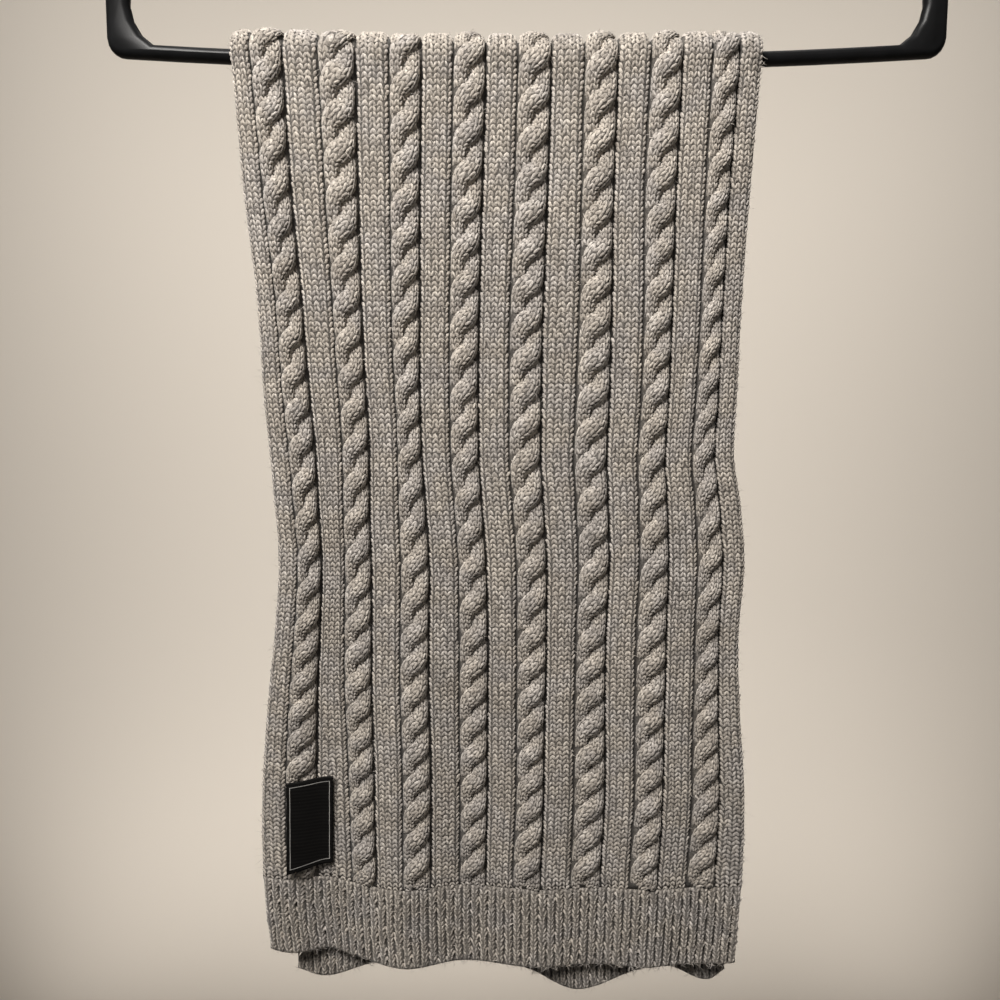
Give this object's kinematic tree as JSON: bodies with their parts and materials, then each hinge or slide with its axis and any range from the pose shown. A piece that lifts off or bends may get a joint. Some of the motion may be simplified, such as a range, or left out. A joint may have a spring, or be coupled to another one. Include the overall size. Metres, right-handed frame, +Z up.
{
  "type": "knit scarf on a hanger",
  "caption": "Cable-knit scarf with ribbed ends, folded end to end and draped over the bar of a plastic hanger, which hangs from its hook.",
  "frame": {"origin": "inner top of the hook, where the rail holds it", "axes": "+Z up, +X to the right along the hanger's bar as seen from the front, +Y from the front to the back"},
  "size_m": [0.4072, 0.047, 0.6896],
  "materials": {
    "knit": "marled mid-grey wool knit, matt with a soft fuzz",
    "label": "black woven label with a thin pale border line, no lettering",
    "hanger_plastic": "glossy black moulded plastic"
  },
  "bodies": {
    "root": {"hanger": "hanger_plastic", "front_end": "knit", "front_end_rib": "knit", "bar_wrap_outer": "knit", "back_length": "knit", "back_fold": "knit", "back_inner_length": "knit", "bar_wrap_inner": "knit", "second_end": "knit", "second_end_rib": "knit", "label": "label"}
  },
  "joints": []
}
